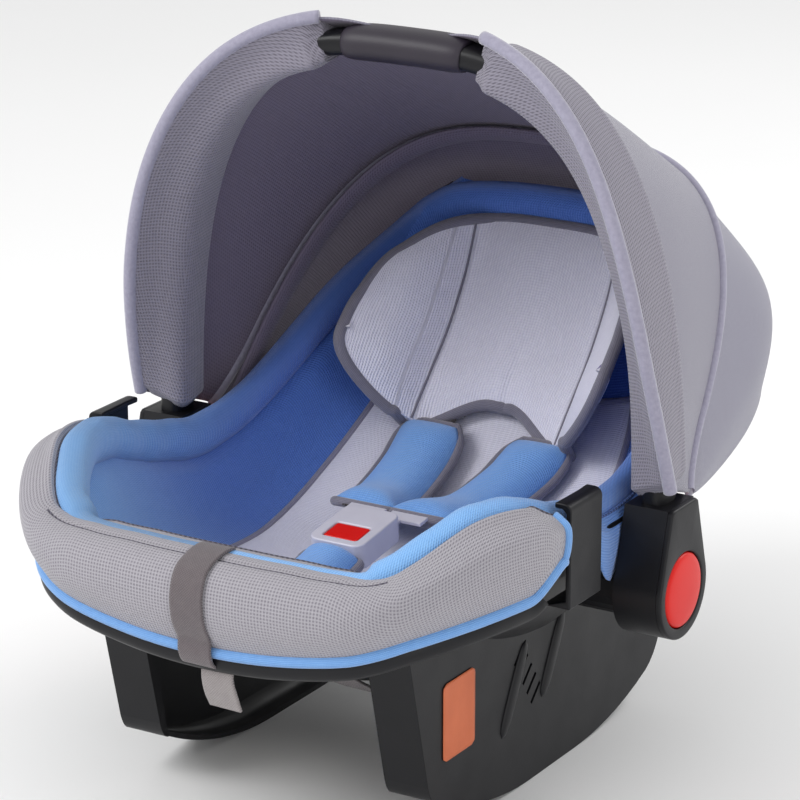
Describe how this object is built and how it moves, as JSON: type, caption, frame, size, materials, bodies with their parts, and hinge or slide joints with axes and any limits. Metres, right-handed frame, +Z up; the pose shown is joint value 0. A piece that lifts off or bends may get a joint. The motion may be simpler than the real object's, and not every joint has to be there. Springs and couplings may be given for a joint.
{
  "type": "infant car seat",
  "caption": "Rear-facing infant carrier: moulded tub on rockers, padded cover, five-point harness, swing-back carry handle and folding canopy.",
  "frame": {"origin": "centre of the footprint of the whole seat, on the plane the rockers stand on", "axes": "+X towards the right-hand hub seen from the feet end, -Y towards the baby's feet, +Z up; the handle turns about a line along X"},
  "size_m": [0.442, 0.563, 0.5133],
  "materials": {
    "black_plastic": "satin moulded plastic",
    "grip_plastic": "smooth grip",
    "foam": "expanded foam, matt",
    "blue_mesh": "fine ribbed mesh",
    "grey_mesh": "waffle mesh",
    "white_knit": "ribbed knit",
    "dark_webbing": "woven webbing",
    "brown_webbing": "woven webbing",
    "buckle_plastic": "satin",
    "red_plastic": "satin",
    "steel": "brushed",
    "white_label": "blank label",
    "orange_label": "blank label"
  },
  "bodies": {
    "shell": {"adjuster_body": "steel", "adjuster_strap": "brown_webbing", "belly_sticker": "white_label", "belt_guide_left": "black_plastic", "belt_guide_right": "black_plastic", "buckle_housing": "buckle_plastic", "buckle_tongue_left": "steel", "buckle_tongue_right": "steel", "crotch_pad": "blue_mesh", "crotch_strap": "dark_webbing", "foam_liner": "foam", "front_bumper": "grey_mesh", "harness_yoke": "steel", "head_support": "white_knit", "hub_pivot_left": "black_plastic", "hub_pivot_right": "black_plastic", "rocker_left": "black_plastic", "rocker_right": "black_plastic", "seat_cover": "blue_mesh", "seat_pad": "white_knit", "seat_shell": "black_plastic", "shoulder_pad_left": "blue_mesh", "shoulder_pad_right": "blue_mesh", "shoulder_strap_left": "dark_webbing", "shoulder_strap_right": "dark_webbing", "side_sticker": "orange_label", "under_strap": "brown_webbing"},
    "handle": {"handle_bow": "black_plastic", "handle_grip": "grip_plastic", "canopy_front": "grey_mesh", "canopy_rear": "grey_mesh", "canopy_sleeve_right": "grey_mesh", "canopy_sleeve_left": "grey_mesh", "hub_housing_right": "black_plastic", "hub_housing_left": "black_plastic", "hub_cover_right": "black_plastic", "hub_cover_left": "black_plastic", "hub_spring_right": "steel", "hub_spring_left": "steel"},
    "canopy_bow": {"canopy_bow": "black_plastic"},
    "hub_button_right": {"hub_button_right": "red_plastic", "lock_gear_right": "steel"},
    "rear_release_right": {"rear_release_right": "red_plastic"},
    "hub_button_left": {"hub_button_left": "red_plastic", "lock_gear_left": "steel"},
    "rear_release_left": {"rear_release_left": "red_plastic"},
    "buckle_button": {"buckle_button": "red_plastic"},
    "adjuster_lever": {"adjuster_lever": "steel", "adjuster_pin": "steel"}
  },
  "joints": [
    {"name": "handle_swing", "type": "hinge", "parent": "shell", "child": "handle", "pos_m": [0, 0.00218, 0.146], "axis": [-1, 0, 0], "range_deg": [0, 105], "deforming": ["canopy_front", "canopy_rear"]},
    {"name": "canopy_bow_swing", "type": "hinge", "parent": "shell", "child": "canopy_bow", "pos_m": [0, 0.00218, 0.146], "axis": [-1, 0, 0], "range_deg": [0, 42]},
    {"name": "hub_button_press_right", "type": "slide", "parent": "handle", "child": "hub_button_right", "axis": [-1, 0, 0], "range_m": [0, 0.0035], "stiffness_N_per_m": 600, "springref_m": -0.002, "deforming": ["hub_spring_right"]},
    {"name": "rear_release_press_right", "type": "slide", "parent": "handle", "child": "rear_release_right", "axis": [0, -1, 0], "range_m": [0, 0.003], "stiffness_N_per_m": 400, "springref_m": -0.002},
    {"name": "hub_button_press_left", "type": "slide", "parent": "handle", "child": "hub_button_left", "axis": [1, 0, 0], "range_m": [0, 0.0035], "stiffness_N_per_m": 600, "springref_m": -0.002, "deforming": ["hub_spring_left"]},
    {"name": "rear_release_press_left", "type": "slide", "parent": "handle", "child": "rear_release_left", "axis": [0, -1, 0], "range_m": [0, 0.003], "stiffness_N_per_m": 400, "springref_m": -0.002},
    {"name": "buckle_button_press", "type": "slide", "parent": "shell", "child": "buckle_button", "axis": [0, 0.1392, -0.9903], "range_m": [0, 0.0018], "stiffness_N_per_m": 500, "springref_m": -0.002},
    {"name": "adjuster_lever_tilt", "type": "hinge", "parent": "shell", "child": "adjuster_lever", "pos_m": [0, -0.18137, 0.13742], "axis": [-1, 0, 0], "range_deg": [0, 8], "stiffness_Nm_per_rad": 0.3, "springref_deg": -5.73}
  ],
  "couplings": [
    {"joint": "canopy_bow_swing", "follows": "handle_swing", "ratio": 0.4}
  ]
}
